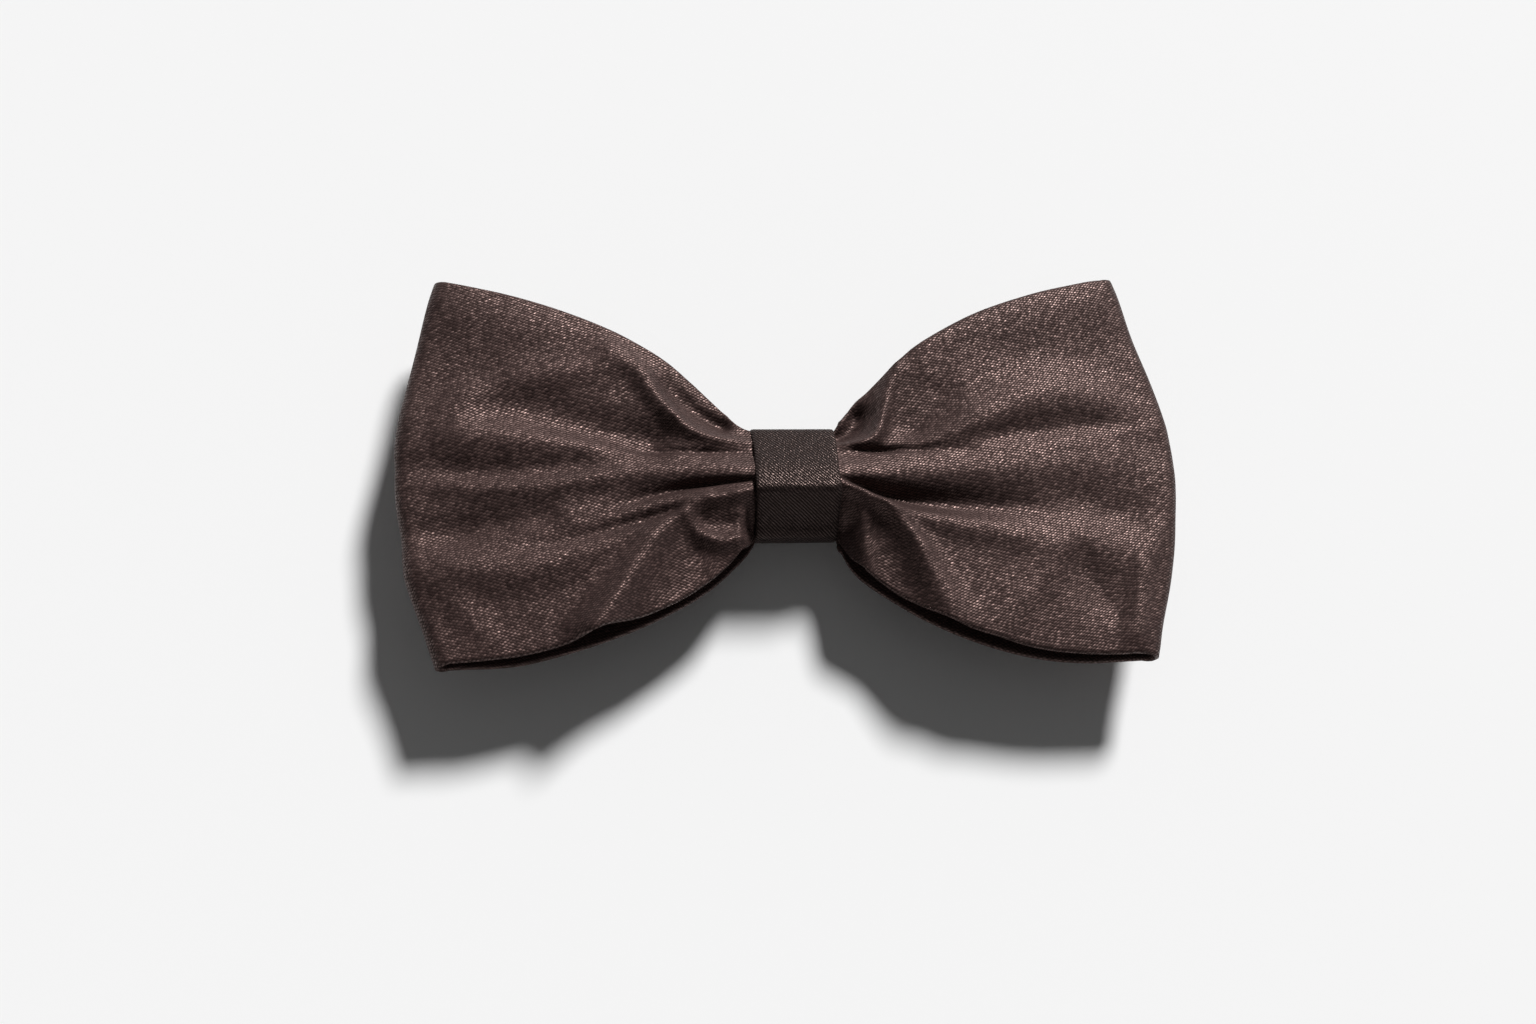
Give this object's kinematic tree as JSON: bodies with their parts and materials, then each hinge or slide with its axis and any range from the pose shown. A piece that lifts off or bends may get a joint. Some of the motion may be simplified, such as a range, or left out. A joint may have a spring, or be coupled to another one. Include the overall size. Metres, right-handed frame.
{
  "type": "bow tie",
  "caption": "Ready-tied bow tie: pleated satin-weave wings gathered by a twill knot, on a folded adjustable neckband with slider, hook and eye.",
  "frame": {"origin": "centre of the bow's plan, on the surface that it lies on", "axes": "X across the bow, Y up the bow, Z out of its front face"},
  "size_m": [0.122, 0.064, 0.0169],
  "materials": {
    "wing_cloth": "dark brown satin weave with fine slanted grains",
    "knot_twill": "dark brown fine diagonal twill",
    "band_cloth": "dark brown satin band, pressed flat",
    "interlining": "undyed non-woven",
    "thread": "dark sewing thread",
    "fitting_metal": "polished nickel plate"
  },
  "bodies": {
    "bow": {"front_shell": "wing_cloth", "front_interlining": "interlining", "front_lining": "wing_cloth", "left_back_shell": "wing_cloth", "left_back_interlining": "interlining", "left_back_lining": "wing_cloth", "right_back_shell": "wing_cloth", "right_back_interlining": "interlining", "right_back_lining": "wing_cloth", "left_outer_fold": "wing_cloth", "right_outer_fold": "wing_cloth", "gathering_thread": "thread", "centre_back_stitches": "thread", "knot_wrap": "knot_twill", "knot_stiffener": "interlining", "knot_closing_stitches": "thread", "band_centre": "band_cloth", "band_tack_stitches": "thread"},
    "left_panel_1": {"left_band_1": "band_cloth"},
    "left_panel_2": {"left_band_2": "band_cloth"},
    "left_panel_3": {"left_band_3": "band_cloth"},
    "left_panel_4": {"left_band_4": "band_cloth"},
    "right_panel_1": {"right_band_1": "band_cloth"},
    "right_panel_2": {"right_band_2": "band_cloth"},
    "right_panel_3": {"right_band_3": "band_cloth"},
    "right_panel_4": {"right_band_4": "band_cloth"},
    "left_panel_5": {"left_band_end": "band_cloth", "left_bar_tack": "thread"},
    "right_panel_5": {"right_band_end": "band_cloth"},
    "hook_end": {"hook_end_loop": "band_cloth", "right_bar_tack": "thread"},
    "slide_adjuster": {"slider": "fitting_metal"},
    "eye_fitting": {"eye": "fitting_metal"},
    "hook_fitting": {"hook": "fitting_metal"}
  },
  "joints": [
    {"name": "left_root_bend", "type": "hinge", "parent": "bow", "child": "left_panel_1", "pos_m": [-0.0081, -0.003, 0.00665], "axis": [0, -1, 0], "range_deg": [0, 60]},
    {"name": "left_fold_1", "type": "hinge", "parent": "left_panel_1", "child": "left_panel_2", "pos_m": [-0.0465, -0.003, 0.00598], "axis": [0, 1, 0], "range_deg": [0, 176]},
    {"name": "left_fold_2", "type": "hinge", "parent": "left_panel_2", "child": "left_panel_3", "pos_m": [-0.0125, -0.003, 0.00462], "axis": [0, -1, 0], "range_deg": [0, 176]},
    {"name": "left_fold_3", "type": "hinge", "parent": "left_panel_3", "child": "left_panel_4", "pos_m": [-0.0465, -0.003, 0.00328], "axis": [0, 1, 0], "range_deg": [0, 176]},
    {"name": "left_fold_4", "type": "hinge", "parent": "left_panel_4", "child": "left_panel_5", "pos_m": [-0.0125, -0.003, 0.00147], "axis": [0, -1, 0], "range_deg": [0, 176]},
    {"name": "right_root_bend", "type": "hinge", "parent": "bow", "child": "right_panel_1", "pos_m": [0.0081, -0.003, 0.00665], "axis": [0, 1, 0], "range_deg": [0, 60]},
    {"name": "right_fold_1", "type": "hinge", "parent": "right_panel_1", "child": "right_panel_2", "pos_m": [0.0465, -0.003, 0.00615], "axis": [0, -1, 0], "range_deg": [0, 176]},
    {"name": "right_fold_2", "type": "hinge", "parent": "right_panel_2", "child": "right_panel_3", "pos_m": [0.0125, -0.003, 0.00515], "axis": [0, 1, 0], "range_deg": [0, 176]},
    {"name": "right_fold_3", "type": "hinge", "parent": "right_panel_3", "child": "right_panel_4", "pos_m": [0.0465, -0.003, 0.00415], "axis": [0, -1, 0], "range_deg": [0, 176]},
    {"name": "right_fold_4", "type": "hinge", "parent": "right_panel_4", "child": "right_panel_5", "pos_m": [0.0125, -0.003, 0.0028], "axis": [0, 1, 0], "range_deg": [0, 176]},
    {"name": "eye_swing", "type": "hinge", "parent": "left_panel_5", "child": "eye_fitting", "pos_m": [-0.0506, -0.003, 0.0014], "axis": [0, 1, 0], "range_deg": [-70, 30]},
    {"name": "slider_slide", "type": "slide", "parent": "right_panel_5", "child": "slide_adjuster", "axis": [1, 0, 0], "range_m": [0, 0.02]},
    {"name": "hook_end_slide", "type": "slide", "parent": "right_panel_5", "child": "hook_end", "axis": [1, 0, 0], "range_m": [0, 0.01]},
    {"name": "hook_swing", "type": "hinge", "parent": "hook_end", "child": "hook_fitting", "pos_m": [0.0506, -0.003, 0.0014], "axis": [0, -1, 0], "range_deg": [-70, 30]}
  ],
  "couplings": [
    {"joint": "left_fold_2", "follows": "left_fold_1", "ratio": 1},
    {"joint": "left_fold_3", "follows": "left_fold_1", "ratio": 1},
    {"joint": "left_fold_4", "follows": "left_fold_1", "ratio": 1},
    {"joint": "right_fold_2", "follows": "right_fold_1", "ratio": 1},
    {"joint": "right_fold_3", "follows": "right_fold_1", "ratio": 1},
    {"joint": "right_fold_4", "follows": "right_fold_1", "ratio": 1},
    {"joint": "hook_end_slide", "follows": "slider_slide", "ratio": 0.5}
  ]
}
